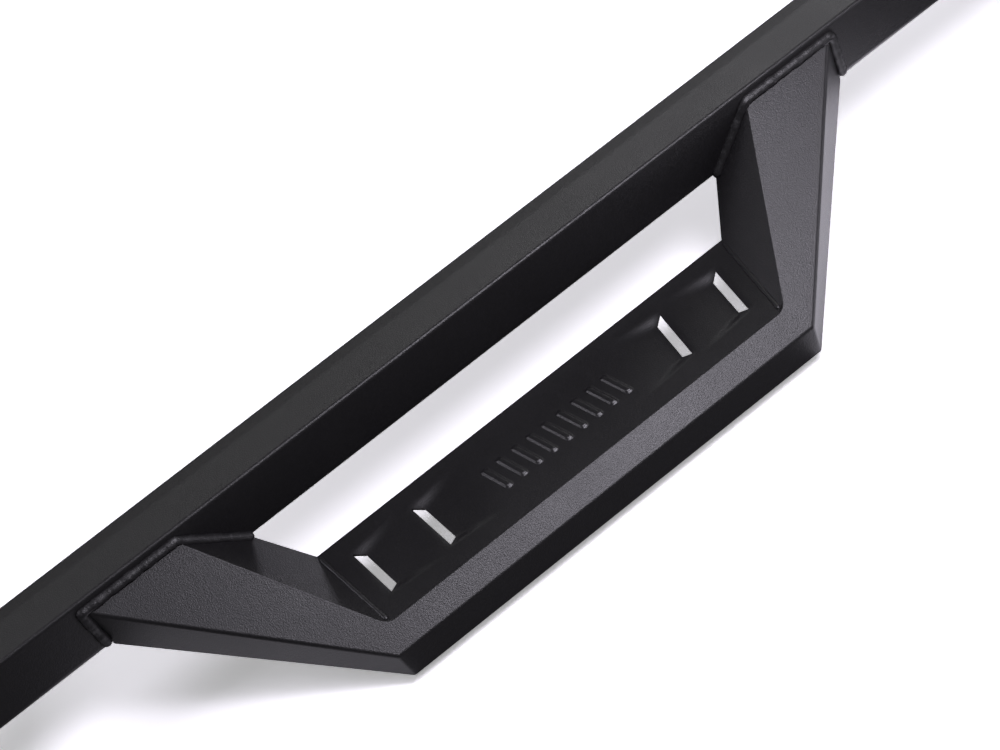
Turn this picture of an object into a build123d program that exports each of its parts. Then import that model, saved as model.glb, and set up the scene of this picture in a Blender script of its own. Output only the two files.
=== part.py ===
"""Side step bar for a pickup: a tubular main rail that carries two welded drop-down steps,
with the brackets that bolt it under a vehicle's sill.

Millimetres. X runs along the rail, +Y points at the vehicle and +Z points up. The origin is
the centre of the middle bracket's slot pattern, on the face that bolts to the vehicle.
"""

import math
import os

from build123d import *

# ---------------------------------------------------------------- main rail
RAIL_LENGTH = 2220.0
RAIL_HEIGHT = 50.8
RAIL_DEPTH = 54.0
RAIL_WALL = 2.5
RAIL_CORNER_R = 5.0
RAIL_EDGE_R = 3.0  # the outer edge of the top, which is folded tighter
RAIL_STRIP = 18.0  # width of the strip of the top that slopes down to the vehicle
RAIL_STRIP_SLOPE = 7.0  # degrees
RAIL_FOLD_R = 35.0  # how softly the top turns into that strip

# ---------------------------------------------------------------- drop-down steps
STEP_OFFSET = 520.0  # from the middle of the rail to the middle of a step
SHEET = 3.0  # thickness of the folded legs and bar
TOP_SLOPE = 38.8  # degrees, the one plane that the tops of both legs and the bar share
TOP_AT_RAIL = 41.3  # height above the rail's underside where that plane meets the rail
STEP_REACH = 127.7  # rail's outer side to the bar's outer face
BAR_TOP_WIDTH = 24.9  # measured on the slope
BAR_FACE_HEIGHT = 24.8
OUTER_HALF_AT_RAIL = 347.7
OUTER_HALF_AT_BAR = 192.7
INNER_HALF_AT_RAIL = 265.7
INNER_HALF_AT_BAR = 184.9
INNER_HALF_LOW = 219.4  # where a leg's inner face leaves the rail's underside
LEG_LEAN = 4.0  # degrees that a leg's outer face leans in towards its foot
INNER_FOOT_SLOPE = 45.2  # degrees, lower edge of a leg's inner face beside the rail
OUTER_EDGE_R = 3.5
INNER_EDGE_R = 1.2
OPENING_CORNER_R = 3.0

# ---------------------------------------------------------------- step plate
PLATE_SHEET = 2.5
PLATE_BACK = 28.4  # gap between the rail's outer side and the plate's back edge
PLATE_DROP = 28.6  # height of that edge below the rail's underside
PLATE_BELOW_BAR = 2.45  # the bar's inner top edge to the plate's front edge
FLANGE_BELOW_PLATE = 6.0
FLANGE_ZONE = 12.0  # how far from the opening the inner flanges' lower trim reaches

LOUVRE_CENTRES = (115.0, 168.9)  # mouth's distance from the middle of the step
LOUVRE_BACK = 17.8  # mouth's ends, measured down the plate from its back edge
LOUVRE_FRONT = 62.7
LOUVRE_SPLAY = 5.6  # degrees, mouth line against the step's centre line
LOUVRE_SLOT = 7.2
LOUVRE_DEPTH = 3.2
LOUVRE_LIP_BACK = 6.0  # how much shorter the lip is than the mouth, at each end
LOUVRE_LIP_FRONT = 4.0
LOUVRE_RAMP = 26.0  # lip to where the pocket runs out
LOUVRE_FLARE = 2.5  # how much longer the pocket is than the mouth there, at each end

TREAD_BARS = 9
TREAD_PITCH = 14.0
TREAD_BAR_WIDTH = 5.0
TREAD_BAR_BACK = 31.0  # bar's ends, measured down the plate from its back edge
TREAD_BAR_FRONT = 55.0
TREAD_BAR_RISE = 1.4
TREAD_BAR_SLANT = 7.0  # how far a bar's lower end stands along from its upper end
TREAD_EDGE_R = 0.6

# ---------------------------------------------------------------- welds
RAIL_WELD_R = 4.6
PLATE_WELD_R = 2.2

# ---------------------------------------------------------------- mounting brackets
BRACKET_OFFSET = 1045.0  # from the middle bracket to each end bracket
BRACKET_WIDTH = 76.0
BRACKET_SHEET = 5.0
BRACKET_BEND_R = 6.0  # inside radius
BRACKET_REACH = 92.0  # rail's back to the vehicle
BRACKET_RISE = 122.0  # rail's underside to the middle of the slot pattern
FOOT_SETBACK = 6.0  # rail's outer side to the foot's edge
FOOT_PAST_RAIL = 8.0
PAD_UP = 38.0  # the upright pad above and below its slots
PAD_DOWN = 40.0
PAD_SLOT_SPACING = 44.0
PAD_SLOT_WIDTH = 9.0
PAD_SLOT_LENGTH = 18.0
GUSSET_SHEET = 5.0
GUSSET_TOP = 12.0  # above the slots
GUSSET_RUN = 58.0  # out from the pad along the ground

# ---------------------------------------------------------------- hardware
BOLT_R = 4.0
BOLT_LENGTH = 20.0
BOLT_HEAD_FLATS = 13.0
BOLT_HEAD_HEIGHT = 5.3
BOLT_SPACING = 44.0
BOLT_HOLE_R = 4.5
THREAD_GAP = 0.05
WASHER_R = 8.0
WASHER_THICKNESS = 1.6
WASHER_HOLE_R = 4.2
LOCK_WASHER_R = 6.8
LOCK_WASHER_THICKNESS = 2.0
LOCK_WASHER_GAP = 1.0
NUT_PLATE_LENGTH = 74.0
NUT_PLATE_WIDTH = 30.0
NUT_PLATE_THICKNESS = 8.0

# ---------------------------------------------------------------- end caps
CAP_FACE = 3.0
CAP_PLUG = 22.0
CAP_PLUG_WALL = 2.2
CAP_CLEARANCE = 0.3
CAP_EDGE_R = 1.2

# ---------------------------------------------------------------- worked out from the above
RAIL_Y = -(RAIL_DEPTH + BRACKET_REACH)
RAIL_Z = -BRACKET_RISE
BRACKET_PLACES = {"rear": -BRACKET_OFFSET, "middle": 0.0, "front": BRACKET_OFFSET}
STEP_PLACES = {"rear": -STEP_OFFSET, "front": STEP_OFFSET}
SPAN = 1600.0  # side of the blocks that stand for half spaces
BAR_INNER = STEP_REACH - BAR_TOP_WIDTH * math.cos(math.radians(TOP_SLOPE))
BAR_FOOT_Z = TOP_AT_RAIL - STEP_REACH * math.tan(math.radians(TOP_SLOPE)) - BAR_FACE_HEIGHT
TOP_NORMAL = Vector(0, -math.sin(math.radians(TOP_SLOPE)), math.cos(math.radians(TOP_SLOPE)))
PLATE_FALL = BAR_INNER * math.tan(math.radians(TOP_SLOPE)) - TOP_AT_RAIL + PLATE_BELOW_BAR - PLATE_DROP
PLATE_SLOPE = math.degrees(math.atan2(PLATE_FALL, BAR_INNER - PLATE_BACK))  # down towards the bar
PLATE_NORMAL = Vector(0, -math.sin(math.radians(PLATE_SLOPE)), math.cos(math.radians(PLATE_SLOPE)))
DOWN_PLATE = Vector(0, -math.cos(math.radians(PLATE_SLOPE)), -math.sin(math.radians(PLATE_SLOPE)))
TOUCH = 0.01  # how near counts as on a plane


def tan(degrees):
    return math.tan(math.radians(degrees))


def half_space(point, normal):
    """A block that fills the side of a plane that its normal points to."""
    return Plane(origin=point, z_dir=normal) * Pos(0, 0, SPAN / 2) * Box(SPAN, SPAN, SPAN)


def normal_through(a, b, c, towards):
    """Unit normal of the plane through three points, on the side of a fourth."""
    normal = (b - a).cross(c - a).normalized()
    return normal if normal.dot(towards - a) > 0 else normal * -1


def edges_on(shape, *planes):
    """Edges whose middle lies on every one of the given (point, normal) planes."""
    return [
        edge
        for edge in shape.edges()
        if all(abs((edge.position_at(0.5) - point).dot(normal)) < TOUCH for point, normal in planes)
    ]


def polyhedron(*faces):
    """A solid from its flat faces, each a list of corners."""
    return Solid(Shell([Face(Wire.make_polygon(corners, close=True)) for corners in faces]))


def write(shape, name):
    export_step(shape, f"parts/{name}.step")


# ---------------------------------------------------------------- main rail and caps


def rail_outline(inset=0.0):
    """The tube's section, in Y and Z from the low outer corner of the rail."""
    back_height = RAIL_HEIGHT - RAIL_STRIP * tan(RAIL_STRIP_SLOPE)
    corners = [
        (0, 0),
        (RAIL_DEPTH, 0),
        (RAIL_DEPTH, back_height),
        (RAIL_DEPTH - RAIL_STRIP, RAIL_HEIGHT),
        (0, RAIL_HEIGHT),
    ]
    radii = [RAIL_CORNER_R, RAIL_CORNER_R, RAIL_CORNER_R, RAIL_FOLD_R, RAIL_EDGE_R]
    outline = make_face(FilletPolyline(*corners, radius=radii, close=True))
    return offset(outline, -inset) if inset else outline


def along_rail(outline, start, end):
    """The section drawn out along X between two places."""
    lying = Plane(origin=(start, RAIL_Y, RAIL_Z), x_dir=(0, 1, 0), z_dir=(1, 0, 0))
    return extrude(lying * outline, end - start)


def bolt_places(bracket_x):
    """Where a bracket's bolts pass through the rail's underside."""
    return [(bracket_x + side * BOLT_SPACING / 2, RAIL_Y + RAIL_DEPTH / 2) for side in (-1, 1)]


def upright(x, y, low, high, radius):
    return Pos(x, y, (low + high) / 2) * Cylinder(radius, high - low)


def main_rail():
    half = RAIL_LENGTH / 2
    tube = along_rail(rail_outline(), -half, half) - along_rail(rail_outline(RAIL_WALL), -half, half)
    for bracket_x in BRACKET_PLACES.values():
        for x, y in bolt_places(bracket_x):
            tube -= upright(x, y, RAIL_Z - RAIL_WALL, RAIL_Z + 2 * RAIL_WALL, BOLT_HOLE_R)
    return tube


def end_cap(side):
    """A moulded cap: a face over the tube's end and a hollow plug inside it."""
    end = side * RAIL_LENGTH / 2
    outside, plug_end = end + side * CAP_FACE, end - side * CAP_PLUG
    face = along_rail(rail_outline(), min(end, outside), max(end, outside))
    face = fillet(edges_on(face, (Vector(outside, 0, 0), Vector(1, 0, 0))), CAP_EDGE_R)
    fit = RAIL_WALL + CAP_CLEARANCE
    plug = along_rail(rail_outline(fit), min(end, plug_end), max(end, plug_end))
    plug -= along_rail(rail_outline(fit + CAP_PLUG_WALL), min(end, plug_end), max(end, plug_end))
    return face + plug


# ---------------------------------------------------------------- drop-down steps
# A step is worked out about its own middle, from the rail's outer side and underside.


def top_z(y):
    return TOP_AT_RAIL + y * tan(TOP_SLOPE)


def leg_points(side):
    """Corners of one leg's top, and the foot of its inner face at the rail."""
    return {
        "outer_rail": Vector(side * OUTER_HALF_AT_RAIL, 0, TOP_AT_RAIL),
        "outer_bar": Vector(side * OUTER_HALF_AT_BAR, -STEP_REACH, top_z(-STEP_REACH)),
        "inner_rail": Vector(side * INNER_HALF_AT_RAIL, 0, TOP_AT_RAIL),
        "inner_bar": Vector(side * INNER_HALF_AT_BAR, -BAR_INNER, top_z(-BAR_INNER)),
        "inner_low": Vector(side * INNER_HALF_LOW, 0, 0),
    }


def outer_plane(side):
    """A leg's outer face: a point, and the normal that points into the leg."""
    points = leg_points(side)
    along = points["outer_bar"] - points["outer_rail"]
    inwards = Vector(0, 0, 1).cross(along).normalized()
    if inwards.X * side > 0:
        inwards = inwards * -1
    lean = math.radians(LEG_LEAN)
    down = inwards * math.sin(lean) - Vector(0, 0, math.cos(lean))
    start = points["outer_rail"]
    return start, normal_through(start, start + along, start + down, Vector(0, 0, 0))


def inner_plane(side):
    """A leg's inner face: a point, and the normal that points into the opening."""
    points = leg_points(side)
    corners = points["inner_rail"], points["inner_bar"], points["inner_low"]
    return corners[0], normal_through(*corners, Vector(0, -BAR_INNER / 2, TOP_AT_RAIL))


def mitre_plane(side):
    """Where a leg meets the bar; the normal points into the leg."""
    points = leg_points(side)
    start, face = outer_plane(side)
    corner_edge = face.cross(Vector(0, 1, 0))
    a, b = points["outer_bar"], points["inner_bar"]
    return a, normal_through(a, b, a + corner_edge, points["outer_rail"])


def outer_low(side):
    """The foot of a leg's outer face, on the rail's side at its underside."""
    start, face = outer_plane(side)
    down = face.cross(Vector(0, 1, 0))
    return start + down * (-TOP_AT_RAIL / down.Z)


def hull(inset):
    """Everything under the step's top and within its outer faces, drawn in by inset."""
    block = half_space(Vector(0, 0, TOP_AT_RAIL) - TOP_NORMAL * inset, TOP_NORMAL * -1)
    block &= half_space((0, 0, 0), (0, -1, 0))
    block &= half_space((0, -STEP_REACH + inset, 0), (0, 1, 0))
    for side in (-1, 1):
        point, normal = outer_plane(side)
        block &= half_space(point + normal * inset, normal)
    return block & half_space((0, 0, 2 * BAR_FOOT_Z), (0, 0, 1))


def opening(grow):
    """The space inside the step, between the legs' inner faces and the bar's, let out by grow."""
    bar_face = Vector(0, -BAR_INNER - grow, 0), Vector(0, 1, 0)
    space = half_space(*bar_face)
    inner_faces = []
    for side in (-1, 1):
        point, normal = inner_plane(side)
        inner_faces.append((point - normal * grow, normal))
        space &= half_space(*inner_faces[-1])
    space &= Box(2 * OUTER_HALF_AT_RAIL, 3 * STEP_REACH, 3 * STEP_REACH)
    space &= half_space((0, 0, BAR_FOOT_Z - FLANGE_ZONE), (0, 0, 1))
    corners = [edge for face in inner_faces for edge in edges_on(space, bar_face, face)]
    return fillet(corners, OPENING_CORNER_R + grow)


def filled_ring():
    """Both legs and the bar as if they were solid, with their rounded edges."""
    top = Vector(0, 0, TOP_AT_RAIL), TOP_NORMAL
    bar_face = Vector(0, -STEP_REACH, 0), Vector(0, 1, 0)
    outside = hull(0)
    rounded = edges_on(outside, top, bar_face)
    for side in (-1, 1):
        rounded += edges_on(outside, top, outer_plane(side))
        rounded += edges_on(outside, bar_face, outer_plane(side))
    ring = fillet(rounded, OUTER_EDGE_R) - opening(0)
    inside = [edge for edge in edges_on(ring, top) if within_opening(edge.position_at(0.5))]
    return fillet(inside, INNER_EDGE_R)


def within_opening(point):
    """True for a point on the opening's own faces, and not on the rail's side."""
    faces = [inner_plane(side) for side in (-1, 1)] + [(Vector(0, -BAR_INNER, 0), Vector(0, 1, 0))]
    near = [abs((point - place).dot(normal)) < OPENING_CORNER_R / 2 for place, normal in faces]
    return any(near) and point.Y < -TOUCH


def folded_ring():
    """The ring as folded sheet, open underneath, with its lower edges trimmed."""
    ring = filled_ring() - (hull(SHEET) - opening(SHEET))
    near_opening = opening(FLANGE_ZONE)
    ring -= half_space((0, 0, 0), (0, -BAR_FOOT_Z, -STEP_REACH)) - near_opening
    plate_foot = plate_origin() - PLATE_NORMAL * (PLATE_SHEET + FLANGE_BELOW_PLATE)
    ring -= half_space(plate_foot, PLATE_NORMAL * -1) & near_opening
    foot = math.radians(INNER_FOOT_SLOPE)
    ring -= half_space((0, 0, 0), (0, math.sin(foot), -math.cos(foot))) & near_opening
    return ring


def leg(ring, side):
    return ring & half_space(*mitre_plane(side))


def bar(ring):
    for side in (-1, 1):
        point, normal = mitre_plane(side)
        ring = ring & half_space(point, normal * -1)
    return ring


# ---------------------------------------------------------------- step plate


def plate_origin():
    return Vector(0, -PLATE_BACK, -PLATE_DROP)


def on_plate(across, down, rise=0.0):
    """A point on the plate's top, across from its middle and down from its back edge."""
    return plate_origin() + Vector(across, 0, 0) + DOWN_PLATE * down + PLATE_NORMAL * rise


def mouth_line(centre, side, down):
    """A louvre's line runs parallel to the end of the plate beside it."""
    middle = (LOUVRE_BACK + LOUVRE_FRONT) / 2
    return side * (centre - (down - middle) * tan(LOUVRE_SPLAY))


def louvre_tools(centre, side):
    """The pressed-down pocket of a louvre and the slot at its mouth."""
    back, front = LOUVRE_BACK, LOUVRE_FRONT
    lip_back, lip_front = back + LOUVRE_LIP_BACK, front - LOUVRE_LIP_FRONT
    ramp_back, ramp_front = back - LOUVRE_FLARE, front + LOUVRE_FLARE

    def point(down, inwards, rise):
        return on_plate(mouth_line(centre - inwards, side, down), down, rise)

    def pocket_at(lowered):
        mouth = point(back, 0, -lowered), point(front, 0, -lowered)
        depth = -LOUVRE_DEPTH - lowered
        lip = point(lip_back, LOUVRE_SLOT, depth), point(lip_front, LOUVRE_SLOT, depth)
        ramp = (
            point(ramp_back, LOUVRE_SLOT + LOUVRE_RAMP, -lowered),
            point(ramp_front, LOUVRE_SLOT + LOUVRE_RAMP, -lowered),
        )
        return polyhedron(
            [mouth[0], mouth[1], ramp[1], ramp[0]],
            [mouth[0], mouth[1], lip[1], lip[0]],
            [lip[0], lip[1], ramp[1], ramp[0]],
            [mouth[0], lip[0], ramp[0]],
            [mouth[1], lip[1], ramp[1]],
        )

    top, bottom = 1.0, -(LOUVRE_DEPTH + 2 * PLATE_SHEET)
    above = [point(back, 0, top), point(front, 0, top)]
    above += [point(lip_front, LOUVRE_SLOT, top), point(lip_back, LOUVRE_SLOT, top)]
    slot = extrude(Face(Wire.make_polygon(above, close=True)), top - bottom, dir=PLATE_NORMAL * -1)
    return pocket_at(0), pocket_at(PLATE_SHEET), slot


def tread_bar(across):
    """One raised, slanted bar of the grip pattern."""
    corners = [
        (across - TREAD_BAR_WIDTH / 2 - TREAD_BAR_SLANT / 2, TREAD_BAR_BACK),
        (across + TREAD_BAR_WIDTH / 2 - TREAD_BAR_SLANT / 2, TREAD_BAR_BACK),
        (across + TREAD_BAR_WIDTH / 2 + TREAD_BAR_SLANT / 2, TREAD_BAR_FRONT),
        (across - TREAD_BAR_WIDTH / 2 + TREAD_BAR_SLANT / 2, TREAD_BAR_FRONT),
    ]
    sunk = PLATE_SHEET / 2
    base = Face(Wire.make_polygon([on_plate(x, down, -sunk) for x, down in corners], close=True))
    raised = extrude(base, sunk + TREAD_BAR_RISE, dir=PLATE_NORMAL)
    return fillet(edges_on(raised, (on_plate(0, 0, TREAD_BAR_RISE), PLATE_NORMAL)), TREAD_EDGE_R)


def step_plate():
    plate = half_space(plate_origin(), PLATE_NORMAL * -1)
    plate &= half_space(plate_origin() - PLATE_NORMAL * PLATE_SHEET, PLATE_NORMAL)
    plate &= half_space((0, -PLATE_BACK, 0), (0, -1, 0))
    plate &= opening(0)
    for centre in LOUVRE_CENTRES:
        for side in (-1, 1):
            pocket, underside, slot = louvre_tools(centre, side)
            plate = (plate + underside) - pocket - slot
    for number in range(TREAD_BARS):
        plate += tread_bar((number - (TREAD_BARS - 1) / 2) * TREAD_PITCH)
    return plate


# ---------------------------------------------------------------- welds


def bead(points, radius):
    """A round bead along a chain of points, with rounded corners and ends."""
    beads = Part()
    for start, end in zip(points, points[1:]):
        run = Plane(origin=start, z_dir=end - start)
        length = (end - start).length
        beads += run * Pos(0, 0, length / 2) * Cylinder(radius, length)
    for corner in points:
        beads += Pos(*corner) * Sphere(radius)
    return beads


def rail_welds(ring):
    """The bead round both legs where they meet the rail's side."""
    welds = []
    for side in (-1, 1):
        points = leg_points(side)
        chain = [points["inner_low"], points["inner_rail"], points["outer_rail"], outer_low(side)]
        weld = bead(chain, RAIL_WELD_R) - half_space((0, 0, 0), (0, 1, 0)) - ring
        weld &= half_space((0, 0, RAIL_CORNER_R), (0, 0, 1))
        welds += [weld]
    return welds


def plate_welds(ring):
    """The bead at each end of the step plate, against the leg's inner face."""
    welds = []
    for side in (-1, 1):
        place, normal = inner_plane(side)
        ends = []
        for y in (-PLATE_BACK - PLATE_WELD_R, -BAR_INNER + OPENING_CORNER_R):
            z = -PLATE_DROP + (y + PLATE_BACK) * tan(PLATE_SLOPE)
            x = place.X - (normal.Y * (y - place.Y) + normal.Z * (z - place.Z)) / normal.X
            ends.append(Vector(x, y, z))
        weld = bead(ends, PLATE_WELD_R) - ring - half_space(plate_origin(), PLATE_NORMAL * -1)
        weld &= opening(0)
        welds += [weld]
    return welds


# ---------------------------------------------------------------- brackets


def strip_outline(path, thickness, bend):
    """The outline of a bent strip: its upper side is the path, its lower side lies below."""
    directions = [(Vector(*b) - Vector(*a)).normalized() for a, b in zip(path, path[1:])]
    lower = []
    for number, corner in enumerate(path):
        before = directions[max(number - 1, 0)]
        after = directions[min(number, len(directions) - 1)]
        middle = (before + after).normalized()
        across = Vector(middle.Y, -middle.X, 0)
        lower.append(Vector(*corner) + across * (thickness / before.dot(middle)))
    upper = [Vector(*corner) for corner in path]
    turns = [before.cross(after).Z for before, after in zip(directions, directions[1:])]
    inside = [bend if turn > 0 else bend + thickness for turn in turns]
    outside = [bend + thickness if turn > 0 else bend for turn in turns]
    radii = [0.0] + inside + [0.0, 0.0] + outside[::-1] + [0.0]
    return FilletPolyline(*upper, *lower[::-1], radius=radii, close=True)


def bracket_path():
    """Upper side of a bracket's strip in Y and Z, from the foot's edge up to the pad's top."""
    pad = -BRACKET_SHEET
    return [
        (RAIL_Y + FOOT_SETBACK, RAIL_Z),
        (RAIL_Y + RAIL_DEPTH + FOOT_PAST_RAIL, RAIL_Z),
        (pad, -PAD_DOWN),
        (pad, PAD_UP),
    ]


def bracket(bracket_x):
    lying = Plane(origin=(bracket_x, 0, 0), x_dir=(0, 1, 0), z_dir=(1, 0, 0))
    outline = make_face(strip_outline(bracket_path(), BRACKET_SHEET, BRACKET_BEND_R))
    strip = extrude(lying * outline, BRACKET_WIDTH / 2, both=True)
    for x, y in bolt_places(bracket_x):
        strip -= upright(x, y, RAIL_Z - 2 * BRACKET_SHEET, RAIL_Z + BRACKET_SHEET, BOLT_HOLE_R)
    facing = Plane(origin=(0, BRACKET_SHEET, 0), x_dir=(1, 0, 0), z_dir=(0, -1, 0))
    for side in (-1, 1):
        shape = SlotOverall(PAD_SLOT_LENGTH, PAD_SLOT_WIDTH)
        place = Pos(bracket_x + side * PAD_SLOT_SPACING / 2, 0) * shape
        strip -= extrude(facing * place, 3 * BRACKET_SHEET)
    return strip


def gusset(bracket_x):
    """The web that stands between a bracket's arm and its pad."""
    path = bracket_path()
    (_, _), (knee_y, knee_z), (pad, bend_z), _ = path
    climb = (bend_z - knee_z) / (pad - knee_y)
    toe = (pad - GUSSET_RUN, bend_z - GUSSET_RUN * climb)
    corners = [(pad, GUSSET_TOP), (pad, bend_z), toe]
    lying = Plane(origin=(bracket_x, 0, 0), x_dir=(0, 1, 0), z_dir=(1, 0, 0))
    web = extrude(lying * make_face(Polyline(*corners, close=True)), GUSSET_SHEET / 2, both=True)
    return web - bracket(bracket_x)


# ---------------------------------------------------------------- hardware


def rail_bolts():
    low = RAIL_Z - BRACKET_SHEET - WASHER_THICKNESS - LOCK_WASHER_THICKNESS
    bolts = []
    for bracket_x in BRACKET_PLACES.values():
        for x, y in bolt_places(bracket_x):
            hexagon = RegularPolygon(BOLT_HEAD_FLATS / 2, 6, major_radius=False)
            head = Pos(x, y, low - BOLT_HEAD_HEIGHT) * extrude(hexagon, BOLT_HEAD_HEIGHT)
            bolts += [head + upright(x, y, low - TOUCH, low + BOLT_LENGTH, BOLT_R)]
    return bolts


def washers(high, thickness, radius, hole):
    """One ring under each of the brackets' bolt holes."""
    rings = []
    for bracket_x in BRACKET_PLACES.values():
        for x, y in bolt_places(bracket_x):
            ring = upright(x, y, high - thickness, high, radius)
            rings += [ring - upright(x, y, high - 2 * thickness, high + thickness, hole)]
    return rings


def lock_washers():
    high = RAIL_Z - BRACKET_SHEET - WASHER_THICKNESS
    rings = washers(high, LOCK_WASHER_THICKNESS, LOCK_WASHER_R, WASHER_HOLE_R)
    split = []
    for ring in rings:
        centre = ring.bounding_box().center()
        cut = Pos(centre.X + LOCK_WASHER_R / 2, centre.Y, centre.Z) * Box(
            LOCK_WASHER_R + 2 * TOUCH, LOCK_WASHER_GAP, 2 * LOCK_WASHER_THICKNESS
        )
        split += [ring - cut]
    return split


def nut_plate(bracket_x):
    """The tapped plate inside the rail that takes one bracket's bolts."""
    low = RAIL_Z + RAIL_WALL
    plate = Pos(bracket_x, RAIL_Y + RAIL_DEPTH / 2, low + NUT_PLATE_THICKNESS / 2) * Box(
        NUT_PLATE_LENGTH, NUT_PLATE_WIDTH, NUT_PLATE_THICKNESS
    )
    for x, y in bolt_places(bracket_x):
        plate -= upright(x, y, RAIL_Z, low + 2 * NUT_PLATE_THICKNESS, BOLT_R + THREAD_GAP)
    return plate


# ---------------------------------------------------------------- write every piece


def main():
    os.makedirs("parts", exist_ok=True)
    write(main_rail(), "main_rail")
    write(end_cap(-1), "rear_end_cap")
    write(end_cap(1), "front_end_cap")

    ring, solid_ring = folded_ring(), filled_ring()
    pieces = {
        "rear_leg": [leg(ring, -1)],
        "front_leg": [leg(ring, 1)],
        "bar": [bar(ring)],
        "plate": [step_plate()],
        "rail_welds": rail_welds(solid_ring),
        "plate_welds": plate_welds(solid_ring),
    }
    for place, x in STEP_PLACES.items():
        for name, shapes in pieces.items():
            moved = [Pos(x, RAIL_Y, RAIL_Z) * shape for shape in shapes]
            write(Compound(moved) if len(moved) > 1 else moved[0], f"{place}_step_{name}")

    for place, x in BRACKET_PLACES.items():
        write(bracket(x), f"{place}_bracket")
        write(gusset(x), f"{place}_bracket_gusset")
        write(nut_plate(x), f"{place}_nut_plate")

    under_foot = RAIL_Z - BRACKET_SHEET
    write(Compound(rail_bolts()), "rail_bolts")
    write(Compound(washers(under_foot, WASHER_THICKNESS, WASHER_R, WASHER_HOLE_R)), "washers")
    write(Compound(lock_washers()), "lock_washers")


main()
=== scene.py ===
# %% [markdown]
# # A drop-step side bar in black powder coat
#
# A side step bar is a square tube that runs under a pickup's doors. Two steps hang from it, each
# one folded from sheet steel: a leg out and down, a bar along the front, and a leg back up. The
# design was made first, in a CAD program, and packed as a frame. Here we only dress it: we choose
# the finishes, lay the weld beads, light it, and place the camera.
#
# We start by loading that frame. Everything is in metres, +X runs along the rail, +Y points at
# the vehicle and +Z points up.

import math

import bmesh
import bpy
from mathutils import Matrix, Vector, noise


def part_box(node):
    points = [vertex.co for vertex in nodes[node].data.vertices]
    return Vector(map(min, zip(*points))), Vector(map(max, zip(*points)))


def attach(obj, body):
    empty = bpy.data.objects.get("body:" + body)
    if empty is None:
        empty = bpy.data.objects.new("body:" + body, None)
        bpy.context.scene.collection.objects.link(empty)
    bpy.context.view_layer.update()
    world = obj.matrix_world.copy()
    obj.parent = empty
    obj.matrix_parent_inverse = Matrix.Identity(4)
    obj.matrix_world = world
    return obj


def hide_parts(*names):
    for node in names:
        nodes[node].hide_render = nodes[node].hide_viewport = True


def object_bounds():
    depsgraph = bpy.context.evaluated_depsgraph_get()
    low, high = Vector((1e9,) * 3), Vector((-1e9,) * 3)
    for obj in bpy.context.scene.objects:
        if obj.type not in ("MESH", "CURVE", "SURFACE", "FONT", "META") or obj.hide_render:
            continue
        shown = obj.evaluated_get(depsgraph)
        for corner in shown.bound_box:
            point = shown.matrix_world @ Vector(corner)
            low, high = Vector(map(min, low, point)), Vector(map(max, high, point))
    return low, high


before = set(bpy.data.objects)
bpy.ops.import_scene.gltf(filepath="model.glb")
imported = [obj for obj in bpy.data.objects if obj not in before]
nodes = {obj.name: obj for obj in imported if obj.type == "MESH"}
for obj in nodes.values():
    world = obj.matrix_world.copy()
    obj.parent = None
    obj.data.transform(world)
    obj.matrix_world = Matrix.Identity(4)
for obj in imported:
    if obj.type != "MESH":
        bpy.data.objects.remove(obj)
design_low, design_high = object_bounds()
print(f"loaded {len(nodes)} nodes, {(design_high - design_low).x:.3f} m long")

# %% [markdown]
# ## Where things are
#
# Places come from the frame, so that nothing here has to be measured twice. The step that we look
# at is the rear one. Its own middle, on the rail's outer side at the rail's underside, is a handy
# point to measure the camera and the lamps from.

# %% Find the rail and the step
MM = 0.001
rail_low, rail_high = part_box("main_rail")
plate_low, plate_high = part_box("rear_step_plate")
step_middle = Vector(((plate_low.x + plate_high.x) / 2, rail_low.y, rail_low.z))
print("step's middle", [round(v, 3) for v in step_middle])

# %% [markdown]
# ## The camera
#
# A long lens keeps the rail's edges nearly parallel. The camera stands out in front of the step
# and above it, a little towards the rear, and it is rolled so that the rail climbs steeply
# across the frame from low on the left to high on the right.

# %% Place the camera
CAMERA_ELEVATION = 40.75
CAMERA_TURN = 11.84  # degrees towards the rear of the bar
CAMERA_ROLL = 37.94
CAMERA_PLACE = Vector((-273.1, -1298.2, 1119.0)) * MM  # from the step's middle
LENS_WIDTH = 36.0
LENS = 84.6


def camera_axes(elevation, turn, roll):
    """Right, up and backward for a camera that looks along +Y, turned, tipped and then rolled."""
    tip, swing, spin = (math.radians(angle) for angle in (elevation, turn, roll))
    forward = Vector((math.cos(tip) * math.sin(swing), math.cos(tip) * math.cos(swing), -math.sin(tip)))
    along_rail = Vector((1, 0, 0))
    right = (along_rail - forward * along_rail.dot(forward)).normalized()
    up = right.cross(forward)
    return (
        right * math.cos(spin) - up * math.sin(spin),
        right * math.sin(spin) + up * math.cos(spin),
        -forward,
    )


camera_data = bpy.data.cameras.new("camera")
camera_data.sensor_width = LENS_WIDTH
camera_data.lens = LENS
camera_data.clip_end = 60
camera = bpy.data.objects.new("camera", camera_data)
bpy.context.scene.collection.objects.link(camera)
turned = Matrix(camera_axes(CAMERA_ELEVATION, CAMERA_TURN, CAMERA_ROLL)).transposed().to_4x4()
camera.matrix_world = Matrix.Translation(step_middle + CAMERA_PLACE) @ turned
bpy.context.scene.camera = camera
print("camera at", [round(v, 3) for v in camera.location])

# %% [markdown]
# ## Shader sums in plain Python
#
# A finish is a sum of small effects, and a graph of maths nodes is hard to read. This little class
# wraps one socket, so that `1 - mask * 0.5` builds the nodes for us. Numbers alone are worked out
# in Python, and only what changes over the surface becomes a node.


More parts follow.
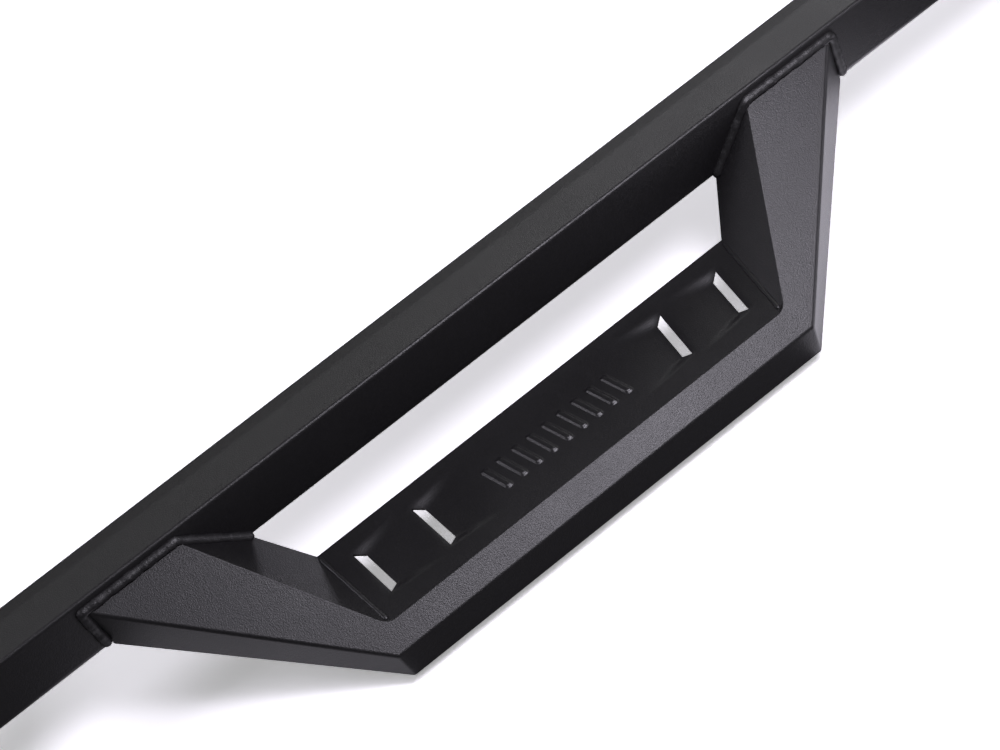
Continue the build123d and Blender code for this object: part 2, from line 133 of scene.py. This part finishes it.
# %% A class for sockets, and one for materials
class Value:
    """A shader socket that can be added, multiplied and so on, as a number can."""

    def __init__(self, finish, socket):
        self.finish, self.socket = finish, socket

    def maths(self, operation, *others, clamp=False):
        inputs = {number: other for number, other in enumerate((self,) + others)}
        settings = {"operation": operation, "use_clamp": clamp}
        return self.finish.node("ShaderNodeMath", settings, inputs)["Value"]

    def __add__(self, other):
        return self.maths("ADD", other)

    def __mul__(self, other):
        return self.maths("MULTIPLY", other)

    def __sub__(self, other):
        return self.maths("SUBTRACT", other)

    def __truediv__(self, other):
        return self.maths("DIVIDE", other)

    def __neg__(self):
        return self * -1.0

    def __rsub__(self, other):
        return -self + other

    __radd__ = __add__
    __rmul__ = __mul__

    def clipped(self):
        return self.maths("ADD", 0.0, clamp=True)


class Finish:
    """A material, or the world. Its node() method adds any node and hands back its outputs by name."""

    def __init__(self, name, library=bpy.data.materials):
        self.material = library.new(name)
        self.material.use_nodes = True
        self.tree = self.material.node_tree
        self.tree.nodes.clear()

    def node(self, kind, settings=None, inputs=None):
        made = self.tree.nodes.new(kind)
        for name, setting in (settings or {}).items():
            if name == "stops":
                self.set_stops(made.color_ramp, setting)
            else:
                setattr(made, name, setting)
        for name, value in (inputs or {}).items():
            if isinstance(value, Value):
                self.tree.links.new(value.socket, made.inputs[name])
            else:
                made.inputs[name].default_value = value
        return {output.name: Value(self, output) for output in made.outputs if output.enabled}

    @staticmethod
    def set_stops(ramp, stops):
        while len(ramp.elements) < len(stops):
            ramp.elements.new(0.5)
        for element, (place, shade) in zip(ramp.elements, stops):
            element.position, element.color = place, (shade, shade, shade, 1)

    def noise(self, place, scale, detail=2.0, roughness=0.5):
        inputs = {"Vector": place, "Scale": scale, "Detail": detail, "Roughness": roughness}
        return self.node("ShaderNodeTexNoise", {}, inputs)["Fac"]

    def blend(self, factor, first, second):
        inputs = {"Factor": factor, "A": first, "B": second}
        for name, value in list(inputs.items()):
            if isinstance(value, tuple):
                inputs[name] = (*value, 1.0)
        made = self.tree.nodes.new("ShaderNodeMix")
        made.data_type = "RGBA"
        sockets = {"Factor": made.inputs[0], "A": made.inputs[6], "B": made.inputs[7]}
        for name, value in inputs.items():
            if isinstance(value, Value):
                self.tree.links.new(value.socket, sockets[name])
            else:
                sockets[name].default_value = value
        return Value(self, made.outputs[2])

    def ramp(self, value, *stops):
        made = self.node("ShaderNodeValToRGB", {"stops": stops}, {"Fac": value})
        return made["Color"]

    def surface(self, **inputs):
        """Ends the material with a Principled shader."""
        shader = self.node("ShaderNodeBsdfPrincipled", {}, inputs)["BSDF"]
        self.node("ShaderNodeOutputMaterial", {}, {"Surface": shader})
        return self.material


# %% [markdown]
# ## The powder coat
#
# The bar is sprayed with dry paint powder and baked. The powder flows out into a satin film with a
# fine orange-peel grain, about a millimetre from bump to bump, with a finer tooth on top. We make
# both from noise that is measured in the object's own metres, so the grain is the same size on
# every piece. A slow drift in gloss keeps the long flats from looking printed.

# %% Mix the powder coat
COAT_COLOUR = (0.0066, 0.0062, 0.0070)
COAT_DUST = (0.022, 0.0205, 0.023)
GRAIN_PER_METRE = 900.0
TOOTH_PER_METRE = 2600.0
TOOTH_SHARE = 0.35  # how high the tooth stands beside the grain
DRIFT_PER_METRE = 14.0
DUST_ON_PEAKS, DUST_IN_DRIFTS = 0.35, 0.12


def powder_coat(name, grain_height, roughness, gloss):
    """Satin black paint, with its grain height in metres."""
    finish = Finish(name)
    place = finish.node("ShaderNodeTexCoord")["Object"]
    grain = finish.noise(place, GRAIN_PER_METRE, 2.0, 0.55)
    tooth = finish.noise(place, TOOTH_PER_METRE, 1.0, 0.5)
    drift = finish.noise(place, DRIFT_PER_METRE, 3.0, 0.55)
    peaks = finish.ramp(grain, (0.45, 0.0), (0.75, 1.0))
    dust = peaks * DUST_ON_PEAKS + drift * DUST_IN_DRIFTS
    colour = finish.blend(dust, COAT_COLOUR, COAT_DUST)
    height = grain + tooth * TOOTH_SHARE
    bump = finish.node(
        "ShaderNodeBump", {}, {"Height": height, "Distance": grain_height, "Strength": 1.0}
    )["Normal"]
    rough = drift * 0.10 + grain * 0.06 + (roughness - 0.08)
    return finish.surface(
        **{
            "Base Color": colour,
            "Roughness": rough,
            "Specular IOR Level": gloss,
            "Normal": bump,
        }
    )


coat = powder_coat("powder_coat", 0.00018, 0.40, 0.6)
smooth_coat = powder_coat("powder_coat_smooth", 0.00010, 0.36, 0.6)
print("mixed", coat.name, "and", smooth_coat.name)

# %% [markdown]
# ## Zinc plate and moulded plastic
#
# The bolts, washers and nut plates are bright zinc: a pale metal with a faintly blotchy gloss. The
# end caps are moulded plastic with a fine spark-eroded grain.

# %% Mix the other finishes
ZINC = (0.60, 0.61, 0.60)
ZINC_DULL = (0.46, 0.47, 0.45)
PLASTIC = (0.014, 0.014, 0.015)
PLASTIC_PALE = (0.028, 0.028, 0.029)


def zinc_plate():
    finish = Finish("zinc_plate")
    place = finish.node("ShaderNodeTexCoord")["Object"]
    blotch = finish.noise(place, 160.0, 4.0, 0.6)
    grit = finish.noise(place, 2200.0, 1.0, 0.5)
    colour = finish.blend(blotch, ZINC, ZINC_DULL)
    bump = finish.node("ShaderNodeBump", {}, {"Height": grit, "Distance": 0.00003})["Normal"]
    rough = blotch * 0.25 + 0.22
    return finish.surface(**{"Base Color": colour, "Metallic": 1.0, "Roughness": rough, "Normal": bump})


def moulded_plastic():
    finish = Finish("cap_plastic")
    place = finish.node("ShaderNodeTexCoord")["Object"]
    grain = finish.noise(place, 1800.0, 2.0, 0.6)
    drift = finish.noise(place, 30.0, 2.0, 0.5)
    colour = finish.blend(grain, PLASTIC, PLASTIC_PALE)
    bump = finish.node("ShaderNodeBump", {}, {"Height": grain, "Distance": 0.00006})["Normal"]
    rough = drift * 0.12 + 0.46
    return finish.surface(**{"Base Color": colour, "Roughness": rough, "Normal": bump})


zinc, plastic = zinc_plate(), moulded_plastic()
print("mixed", zinc.name, "and", plastic.name)

# %% Give every node its finish
for name, node in nodes.items():
    if "bolt" in name or "washer" in name or "nut_plate" in name:
        finish = zinc
    elif "end_cap" in name:
        finish = plastic
    elif name.endswith("step_plate"):
        finish = smooth_coat
    else:
        finish = coat
    node.data.materials.clear()
    node.data.materials.append(finish)

# %% [markdown]
# ## Smooth rounding between shapes
#
# Pressed sheet has no knife edges, so heights that meet need a soft corner. The trick is a minimum
# that rounds off: far from the meeting line it is the plain smaller value, and within a small
# blend it cuts the corner with a parabola. The maximum is the same sum turned over.


# %% Soft minimum and maximum
def soft_least(first, second, blend):
    near = max(blend - abs(first - second), 0.0) / blend
    return min(first, second) - near * near * blend / 4


def soft_most(first, second, blend):
    return -soft_least(-first, -second, blend)


def eased(share):
    """0 to 1 with no corner at either end."""
    share = min(max(share, 0.0), 1.0)
    return share * share * (3 - 2 * share)


# %% [markdown]
# ## The step plates
#
# A step plate is one pressed sheet. It has four louvres, whose mouths face the ends of the step,
# and a row of raised grip bars in the middle. The CAD plate has them as flat facets, which is
# enough to fit and weigh. A press leaves soft shoulders instead, so we lay a fine grid over the
# plate, give each point a height, thicken the grid downwards, and cut the four mouths with a
# boolean. The outline comes from the CAD plate itself: its corners on the top and the underside.

# %% Measure a step plate
EDGE_REACH = 0.2 * MM  # how near to the plate's back or front counts as on that edge


def plate_outline(name):
    """Half widths and heights at the back and front edge, for the plate's top and underside."""
    low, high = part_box(name)
    middle = (low.x + high.x) / 2
    points = [vertex.co for vertex in nodes[name].data.vertices]
    outline = {"middle": middle, "back": high.y, "front": low.y}
    for edge, place in (("back", high.y), ("front", low.y)):
        on_edge = [point for point in points if abs(point.y - place) < EDGE_REACH]
        top = max(point.z for point in on_edge)
        under = min(point.z for point in on_edge)
        for side, level in (("top", top), ("under", under)):
            level_points = [point for point in on_edge if abs(point.z - level) < EDGE_REACH]
            outline[edge, side] = max(abs(point.x - middle) for point in level_points), level
    return outline


def plate_slope(outline):
    """How far a plate's top runs, how far it falls, and its length down the slope."""
    run = outline["back"] - outline["front"]
    fall = outline["back", "top"][1] - outline["front", "top"][1]
    return run, fall, math.hypot(run, fall)


rear_outline = plate_outline("rear_step_plate")
print("back edge's half width", round(rear_outline["back", "top"][0], 4))

# %% [markdown]
# Every height on the plate is a sum over its features. A louvre's depth is the soft minimum of
# four ramps: down from the mouth, up again towards the middle, and in from its two ends. A grip
# bar rises over a narrow shoulder all round. Distances down the plate start at its back edge.

# %% Heights on the plate
LOUVRE_CENTRES = (115.0 * MM, 168.9 * MM)
LOUVRE_BACK, LOUVRE_FRONT = 17.8 * MM, 62.7 * MM
LOUVRE_SPLAY = math.tan(math.radians(5.6))
LOUVRE_SLOT = 7.2 * MM
LOUVRE_DEPTH = 3.2 * MM
LIP_BACK, LIP_FRONT = 6.0 * MM, 4.0 * MM
LOUVRE_RAMP = 26.0 * MM
LOUVRE_FLARE = 2.5 * MM
SHOULDER = 2.5 * MM

BAR_COUNT = 9
BAR_PITCH = 14.0 * MM
BAR_WIDTH = 5.0 * MM
BAR_BACK, BAR_FRONT = 31.0 * MM, 55.0 * MM
BAR_RISE = 1.4 * MM
BAR_SLANT = 7.0 * MM
BAR_SHOULDER = 1.7 * MM


def mouth_at(centre, down):
    """A mouth's distance from the middle of the step."""
    return centre - (down - (LOUVRE_BACK + LOUVRE_FRONT) / 2) * LOUVRE_SPLAY


def louvre_depth(across, down):
    deepest = 0.0
    for centre in LOUVRE_CENTRES:
        inwards = mouth_at(centre, down) - abs(across)
        flare = LOUVRE_FLARE * inwards / (LOUVRE_SLOT + LOUVRE_RAMP)
        ramps = (
            inwards / LOUVRE_SLOT,
            (LOUVRE_SLOT + LOUVRE_RAMP - inwards) / LOUVRE_RAMP,
            (down - LOUVRE_BACK + flare) / LIP_BACK,
            (LOUVRE_FRONT + flare - down) / LIP_FRONT,
        )
        depth = LOUVRE_DEPTH
        for ramp in ramps:
            depth = soft_least(depth, ramp * LOUVRE_DEPTH, SHOULDER)
        deepest = max(deepest, soft_most(depth, 0.0, SHOULDER) if depth > -SHOULDER else 0.0)
    return deepest


def bar_height(across, down):
    share = (down - BAR_BACK) / (BAR_FRONT - BAR_BACK)
    along = across - (share - 0.5) * BAR_SLANT
    number = round(along / BAR_PITCH)
    if abs(number) > BAR_COUNT // 2:
        return 0.0
    sideways = BAR_WIDTH / 2 - abs(along - number * BAR_PITCH)
    inside = soft_least(sideways, min(down - BAR_BACK, BAR_FRONT - down), BAR_SHOULDER)
    return BAR_RISE * eased((inside + BAR_SHOULDER / 2) / BAR_SHOULDER)


print("louvre", round(louvre_depth(LOUVRE_CENTRES[0] - LOUVRE_SLOT * 1.3, 0.04), 4), "deep")

# %% [markdown]
# The grid is fine in the middle, where the grip bars are, and coarser outside. Its columns follow
# the plate's tapering ends, and the last few rows round its two front corners.

# %% Build the plates
FINE_STEP, COARSE_STEP, ROW_STEP = 0.8 * MM, 1.5 * MM, 1.1 * MM
END_TAPER = 0.116  # the legs close in by this share of the way down the plate
CORNER_R = 3.0 * MM


def column_places(half_width):
    """Places across the plate, from one end to the other."""
    fine_half = (BAR_COUNT * BAR_PITCH + BAR_SLANT) / 2
    fine = round(2 * fine_half / FINE_STEP)
    coarse = round((half_width - fine_half) / COARSE_STEP)
    middle = [-fine_half + 2 * fine_half * i / fine for i in range(fine + 1)]
    right = [fine_half + (half_width - fine_half) * i / coarse for i in range(1, coarse + 1)]
    return [-place for place in reversed(right)] + middle + right


def plate_points(outline):
    """Rows of (top point, underside point) over the whole plate."""
    back_half, back_z = outline["back", "top"]
    under_half, under_z = outline["back", "under"]
    sheet, under_share = under_z - back_z, under_half / back_half
    run, fall, length = plate_slope(outline)
    normal = Vector((0, -fall, run)) / length
    columns = column_places(back_half)
    row_count = round(length / ROW_STEP)
    rows = []
    for number in range(row_count + 1):
        down = length * number / row_count
        into_corner = max(down - (length - CORNER_R), 0.0)
        corner = CORNER_R - math.sqrt(max(CORNER_R**2 - into_corner**2, 0.0))
        narrowed = (back_half - END_TAPER * down - corner) / back_half
        row = []
        for column in columns:
            across = column * narrowed
            place = Vector((0, outline["back"] - run * down / length, back_z - fall * down / length))
            place += normal * (bar_height(across, down) - louvre_depth(across, down))
            top = Vector((outline["middle"] + across, place.y, place.z))
            under = Vector((outline["middle"] + across * under_share, place.y, place.z + sheet))
            row.append((top, under))
        rows.append(row)
    return rows


def sheet_mesh(name, rows):
    """A closed mesh between the top and the underside points."""
    mesh = bmesh.new()
    tops = [[mesh.verts.new(top) for top, _ in row] for row in rows]
    unders = [[mesh.verts.new(under) for _, under in row] for row in rows]
    for upper, lower, upper_next, lower_next in zip(tops, unders, tops[1:], unders[1:]):
        for i in range(len(upper) - 1):
            mesh.faces.new((upper[i], upper_next[i], upper_next[i + 1], upper[i + 1]))
            mesh.faces.new((lower[i], lower[i + 1], lower_next[i + 1], lower_next[i]))
        for i in (0, -1):
            mesh.faces.new((upper[i], lower[i], lower_next[i], upper_next[i]))
    for upper, lower in ((tops[0], unders[0]), (tops[-1], unders[-1])):
        for i in range(len(upper) - 1):
            mesh.faces.new((upper[i], upper[i + 1], lower[i + 1], lower[i]))
    bmesh.ops.recalc_face_normals(mesh, faces=mesh.faces)
    return mesh_object(name, mesh)


def mesh_object(name, mesh):
    data = bpy.data.meshes.new(name)
    mesh.to_mesh(data)
    mesh.free()
    made = bpy.data.objects.new(name, data)
    bpy.context.scene.collection.objects.link(made)
    return made


# %% [markdown]
# The four mouths are cut last. Each cutter is a block with the outline of one mouth, from its line
# on the flat sheet to the pressed-down lip, and it stands through the sheet.

# %% Cut the mouths and swap the plates in
CUTTER_UP, CUTTER_DOWN = 2.0 * MM, 8.0 * MM
SHARP_ANGLE = math.radians(40)


def mouth_cutters(outline):
    back_z = outline["back", "top"][1]
    run, fall, length = plate_slope(outline)
    down_plate, normal = Vector((0, -run, -fall)) / length, Vector((0, -fall, run)) / length
    corners = [
        (LOUVRE_BACK, 0.0),
        (LOUVRE_FRONT, 0.0),
        (LOUVRE_FRONT - LIP_FRONT, LOUVRE_SLOT),
        (LOUVRE_BACK + LIP_BACK, LOUVRE_SLOT),
    ]
    mesh = bmesh.new()
    for centre in LOUVRE_CENTRES:
        for side in (-1, 1):
            ring = []
            for down, inwards in corners:
                across = side * (mouth_at(centre, down) - inwards)
                start = Vector((outline["middle"] + across, outline["back"], back_z))
                ring.append(start + down_plate * down)
            above = [mesh.verts.new(point + normal * CUTTER_UP) for point in ring]
            below = [mesh.verts.new(point - normal * CUTTER_DOWN) for point in ring]
            mesh.faces.new(above)
            mesh.faces.new(below[::-1])
            for i in range(4):
                mesh.faces.new((above[i - 1], above[i], below[i], below[i - 1]))
    bmesh.ops.recalc_face_normals(mesh, faces=mesh.faces)
    return mesh_object("mouth_cutters", mesh)


def with_modifiers_applied(piece):
    bpy.context.view_layer.update()
    seen = piece.evaluated_get(bpy.context.evaluated_depsgraph_get())
    done = bpy.data.meshes.new_from_object(seen)
    piece.modifiers.clear()
    piece.data = done
    return piece


def dressed(piece, finish):
    """Smooth shading with true corners, a finish and a ride on the object."""
    piece.data.shade_smooth()
    piece.data.set_sharp_from_angle(angle=SHARP_ANGLE)
    piece.data.materials.clear()
    piece.data.materials.append(finish)
    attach(piece, "root")
    return piece


for step in ("rear", "front"):
    outline = plate_outline(f"{step}_step_plate")
    plate = sheet_mesh(f"{step}_pressed_plate", plate_points(outline))
    cutters = mouth_cutters(outline)
    cut = plate.modifiers.new("mouths", "BOOLEAN")
    cut.operation, cut.solver, cut.object = "DIFFERENCE", "EXACT", cutters
    with_modifiers_applied(plate)
    bpy.data.objects.remove(cutters)
    dressed(plate, smooth_coat)
    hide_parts(f"{step}_step_plate")
    print(plate.name, len(plate.data.vertices), "points")

# %% [markdown]
# ## Weld beads
#
# A hand-laid bead is a row of overlapping puddles. It swells and narrows a little, its edge
# wanders, and it stands slightly proud, so that a dark crease runs along both sides. Its outer side
# is flattish and catches the same light as the leg's top. We sweep a ring along each seam, press
# its outer side flatter, and let noise push every point in or out.

# %% Lay a bead
BEAD_STEP = 0.9 * MM
BEAD_SIDES = 16
RIPPLE_PITCH = 2.3 * MM
WANDER_LENGTH = 9.0 * MM
LUMP_LENGTH = 3.0 * MM
BEAD_PROUD = Vector((0, -0.64, 0.77))  # the way that a bead stands out of its corner
BEAD_FLAT = 0.5  # how much of its height there is pressed flat
BLUNT_LEAST = 0.15  # keeps the bead's ends from closing to a point
WANDER_SIZE, LUMP_SIZE, RIPPLE_SIZE = 0.20, 0.09, 0.04  # shares of the bead's radius
LUMP_SPREAD = 1.3  # how much the lumps differ round the ring
RIPPLE_WANDER = 2.5
CORNER_PASSES = 6  # how often a seam's corners are averaged


def along(points, step):
    """Places at an even step along a chain of points, with its corners rounded off."""
    places = []
    for start, end in zip(points, points[1:]):
        count = max(round((end - start).length / step), 1)
        places += [start.lerp(end, i / count) for i in range(count)]
    places.append(points[-1])
    for _ in range(CORNER_PASSES):
        inner = [(a + b * 2 + c) / 4 for a, b, c in zip(places, places[1:], places[2:])]
        places = [places[0]] + inner + [places[-1]]
    return places


def add_bead(mesh, points, radius, seed):
    """Sweeps a rippled, slightly lumpy ring along the points, flattened on its outer side."""
    places = along(points, BEAD_STEP)
    lengths = [0.0]
    for a, b in zip(places, places[1:]):
        lengths.append(lengths[-1] + (b - a).length)
    rings = []
    for number, place in enumerate(places):
        before, after = places[max(number - 1, 0)], places[min(number + 1, len(places) - 1)]
        heading = (after - before).normalized()
        sideways = heading.orthogonal().normalized() if number == 0 else sideways
        sideways = (sideways - heading * sideways.dot(heading)).normalized()
        upwards = heading.cross(sideways)
        travelled, left = lengths[number], lengths[-1] - lengths[number]
        end = min(travelled, left, radius) / radius
        blunt = math.sqrt(max(1 - (1 - end) ** 2, BLUNT_LEAST))
        wander = noise.noise(Vector((travelled / WANDER_LENGTH, seed, 0.0)))
        ripple = abs(math.sin(math.pi * travelled / RIPPLE_PITCH + RIPPLE_WANDER * wander))
        ring = []
        for i in range(BEAD_SIDES):
            angle = 2 * math.pi * i / BEAD_SIDES
            out = sideways * math.cos(angle) + upwards * math.sin(angle)
            lump = noise.noise(place / LUMP_LENGTH + out * LUMP_SPREAD + Vector((seed, 0, 0)))
            uneven = WANDER_SIZE * wander + LUMP_SIZE * lump - RIPPLE_SIZE * ripple
            size = radius * blunt * (1 + uneven)
            flattened = BEAD_PROUD * max(out.dot(BEAD_PROUD), 0.0) * BEAD_FLAT
            ring.append(mesh.verts.new(place + (out - flattened) * size))
        rings.append(ring)
    for ring, following in zip(rings, rings[1:]):
        for i in range(BEAD_SIDES):
            mesh.faces.new((ring[i - 1], ring[i], following[i], following[i - 1]))
    mesh.faces.new(rings[0])
    mesh.faces.new(rings[-1][::-1])


# %% [markdown]
# The rail beads go up a leg's inner face, over its top and down its outer face. Those seams are
# given from the step's middle, and the beads are lifted off both faces by a fraction of their
# size. The beads at the ends of a step plate are thin and sit on the plate's top, against the leg.

# %% Weld the steps
SEAM_INNER_LOW = Vector((219.4, 0, 0)) * MM
SEAM_INNER = Vector((265.7, 0, 41.3)) * MM
SEAM_OUTER = Vector((347.7, 0, 41.3)) * MM
SEAM_OUTER_LOW = Vector((344.6, 0, 3.5)) * MM
RAIL_BEAD_R = 4.3 * MM
RAIL_BEAD_LIFT = 1.2 * MM
PLATE_BEAD_R = 1.8 * MM
PLATE_BEAD_LIFT = 0.4 * MM


def mirrored(point, side):
    return Vector((point.x * side, point.y, point.z))


def rail_seam(side):
    """The chain of a leg's seam with the rail, drawn off both faces by the lift."""
    off_rail = Vector((0, -RAIL_BEAD_LIFT, 0))
    chain = [
        SEAM_INNER_LOW + Vector((-0.7, 0, 0.6)) * RAIL_BEAD_LIFT,
        SEAM_INNER + Vector((-0.4, 0, 1.0)) * RAIL_BEAD_LIFT,
        SEAM_OUTER + Vector((0.6, 0, 1.0)) * RAIL_BEAD_LIFT,
        SEAM_OUTER_LOW + Vector((1.6, 0, 0)) * RAIL_BEAD_LIFT,
    ]
    return [mirrored(point + off_rail, side) for point in chain]


def plate_seam(outline, side):
    """The line of a plate's end against the leg, lifted off both."""
    half, back_z = outline["back", "top"]
    run, fall, length = plate_slope(outline)
    seam = []
    for down in (1.5 * PLATE_BEAD_R, length - CORNER_R):
        across = side * (half - END_TAPER * down - PLATE_BEAD_LIFT)
        y, z = outline["back"] - run * down / length, back_z - fall * down / length
        seam.append(Vector((outline["middle"] + across, y, z + PLATE_BEAD_LIFT)))
    return seam


for step_number, step in enumerate(("rear", "front")):
    outline = plate_outline(f"{step}_step_plate")
    middle = Vector((outline["middle"], rail_low.y, rail_low.z))
    rail_mesh, plate_mesh = bmesh.new(), bmesh.new()
    for side in (-1, 1):
        seed = 10.0 * step_number + 3.0 * side
        add_bead(rail_mesh, [middle + point for point in rail_seam(side)], RAIL_BEAD_R, seed)
        add_bead(plate_mesh, plate_seam(outline, side), PLATE_BEAD_R, seed + 1.5)
    for mesh, place in ((rail_mesh, "rail"), (plate_mesh, "plate")):
        beads = dressed(mesh_object(f"{step}_{place}_beads", mesh), coat)
        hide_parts(f"{step}_step_{place}_welds")
        print(beads.name, len(beads.data.vertices), "points")

# %% [markdown]
# ## The floor and the light
#
# The set is a plain pale floor just under the bar, in a room with pale walls behind and a dark
# ceiling. Black paint shows little but what it mirrors, so the lamps are placed by reflection: for
# each face we follow the camera's line, bounce it off the face, and hang a soft lamp where it goes.
# The sloping tops mirror a lamp high in front, and the rail's top mirrors the wall behind it. The
# outer sides of the legs look down on the floor beside them, so a soft panel lies there on each
# side. The front faces mirror the floor in front, which stays dim.
#
# The camera sees the floor and the room as white. Gloss and glass see a share of that white as
# well, and the floor keeps the shadow that the lamps throw on it. Away from the bar the floor glows
# a little more, so that it runs on into the white room with no edge.

# %% Lay the floor
FLOOR_GAP = 0.012
FLOOR_SIZE = 14.0
FLOOR_SEEN = 1.8  # how pale the floor is to the camera, enough to show white where no shadow falls
FLOOR_BOUNCE = 0.08  # and to light that bounces off it
FLOOR_LIFT = 0.32  # a little glow that keeps its shadows soft
FLOOR_LIFT_FAR = 0.8  # and how much more away from the rail, where the lamps don't reach
FAR_FADE = 0.15, 0.8  # metres off the rail's side or its ends
GLOSS_SHARE = 0.06  # how much of the floor's white a glossy face shows


def pale_floor():
    finish = Finish("floor")
    rays = finish.node("ShaderNodeLightPath")
    mirrored_rays = rays["Is Glossy Ray"] + rays["Is Transmission Ray"]
    seen = (rays["Is Camera Ray"] + mirrored_rays * GLOSS_SHARE).clipped()
    shade = seen * (FLOOR_SEEN - FLOOR_BOUNCE) + FLOOR_BOUNCE
    diffuse = finish.node("ShaderNodeBsdfDiffuse", {}, {"Color": shade})["BSDF"]
    place = finish.node("ShaderNodeTexCoord")["Object"]
    parts = finish.node("ShaderNodeSeparateXYZ", {}, {"Vector": place})
    off_side = (parts["Y"] - rail_low.y).maths("ABSOLUTE")
    off_ends = parts["X"].maths("ABSOLUTE") - rail_high.x
    off_rail = off_side.maths("MAXIMUM", off_ends)
    far = ((off_rail - FAR_FADE[0]) / (FAR_FADE[1] - FAR_FADE[0])).clipped()
    lift = seen * (far * FLOOR_LIFT_FAR + FLOOR_LIFT)
    glow = finish.node("ShaderNodeEmission", {}, {"Color": (1, 1, 1, 1), "Strength": lift})
    both = finish.node("ShaderNodeAddShader", {}, {0: diffuse, 1: glow["Emission"]})["Shader"]
    finish.node("ShaderNodeOutputMaterial", {}, {"Surface": both})
    return finish.material


floor_mesh = bpy.data.meshes.new("floor")
half = FLOOR_SIZE / 2
corners = [(-half, -half), (half, -half), (half, half), (-half, half)]
floor_mesh.from_pydata([(x, y, design_low.z - FLOOR_GAP) for x, y in corners], [], [(0, 1, 2, 3)])
floor_mesh.materials.append(pale_floor())
floor = bpy.data.objects.new("floor", floor_mesh)
bpy.context.scene.collection.objects.link(floor)
print("floor at", round(design_low.z - FLOOR_GAP, 3))

# %% Hang the lamps
LAMPS = [
    # name, place from the step's middle, what it faces from there, width, height (m) and power (W)
    ("near_high", (0.34, -0.76, 1.10), (0.12, -0.12, -0.06), 0.45, 0.45, 9.9),
    ("front_high", (0.15, -1.15, 1.95), (-0.1, -0.05, 0), 1.0, 0.8, 4.8),
    ("back_right", (1.1, 1.5, 1.35), (0.3, 0, 0), 0.8, 0.6, 2.0),
    ("left_mid", (-0.85, 0.20, 0.75), (0.2, -0.06, -0.02), 0.40, 0.35, 2.2),
    ("right_edge", (0.94, -0.56, 0.04), (0.27, -0.06, -0.02), 0.40, 0.35, 1.6),
    ("under_rail", (0.42, 0.44, -0.055), (-0.25, -0.08, -0.035), 0.55, 0.06, 0.5),
]
PANELS = [
    # name, place from the step's middle, turn in degrees, length, width (m) and power (W)
    ("right_panel", (0.333, -0.077, -0.093), 39.5, 0.30, 0.095, 0.19),
    ("left_panel", (-0.310, -0.078, -0.093), -39.5, 0.26, 0.070, 0.036),
]
LAMP_COLOUR = (1.0, 0.96, 1.08)
WORLD_LEVEL = 0.06


def soft_lamp(name, place, target, wide, tall, power):
    """A rectangular soft lamp that the camera can't see, facing a target near the step."""
    data = bpy.data.lights.new(name, "AREA")
    data.shape, data.size, data.size_y, data.energy = "RECTANGLE", wide, tall, power
    data.color = LAMP_COLOUR
    lamp = bpy.data.objects.new(name, data)
    bpy.context.scene.collection.objects.link(lamp)
    lamp.location = step_middle + Vector(place)
    lamp.rotation_euler = (Vector(target) - Vector(place)).to_track_quat("-Z", "Y").to_euler()
    lamp.visible_camera = False
    return lamp


def floor_panel(name, place, turn, length, width, power):
    """A soft lamp that lies on the floor, faces up and is turned along a leg."""
    lamp = soft_lamp(name, place, place, length, width, power)
    lamp.rotation_euler = (math.pi, 0, math.radians(turn))
    return lamp


for lamp_settings in LAMPS:
    soft_lamp(*lamp_settings)
for panel_settings in PANELS:
    floor_panel(*panel_settings)

# %% [markdown]
# The room's back walls are dim low down, palest at about the height of a person, and fade again
# into a dark ceiling. The front is dark and the left is dimmer than the right. So the flat top of
# the rail is paler than the strip that slopes away behind it, it brightens towards the right, and
# the plate and the front faces stay dark. Only gloss sees these walls.

# %% Paint the room
# Heights and depths on a ball of radius 1 round the object, where the fades start and end.
WALL_LOW, WALL_HIGH = 0.08, 2.8  # how pale the walls are below the first fade and above it
WALL_FADE = 0.52, 0.63
CEILING_FADE = 0.68, 0.80
FRONT_FADE = -0.1, 0.5
SIDE_FADE = -0.10, 0.32  # the walls are paler on the right of the step
SIDE_DARK = 0.25


def studio_room():
    room = Finish("studio", bpy.data.worlds)
    rays = room.node("ShaderNodeLightPath")
    direction = room.node("ShaderNodeTexCoord")["Generated"]
    parts = room.node("ShaderNodeSeparateXYZ", {}, {"Vector": direction})

    def fade(part, start, end):
        return ((parts[part] - start) / (end - start)).clipped()

    wall = fade("Z", *WALL_FADE) * (WALL_HIGH - WALL_LOW) + WALL_LOW
    wall = wall * (1.0 - fade("Z", *CEILING_FADE)) * fade("Y", *FRONT_FADE)
    wall = wall * (fade("X", *SIDE_FADE) * (1.0 - SIDE_DARK) + SIDE_DARK)
    mirrored_rays = rays["Is Glossy Ray"] + rays["Is Transmission Ray"]
    strength = rays["Is Camera Ray"] + mirrored_rays * wall + WORLD_LEVEL
    pale = room.node("ShaderNodeBackground", {}, {"Color": (1, 1, 1, 1), "Strength": strength})
    room.node("ShaderNodeOutputWorld", {}, {"Surface": pale["Background"]})
    return room.material


bpy.context.scene.world = studio_room()
bpy.context.scene.view_settings.view_transform = "Standard"
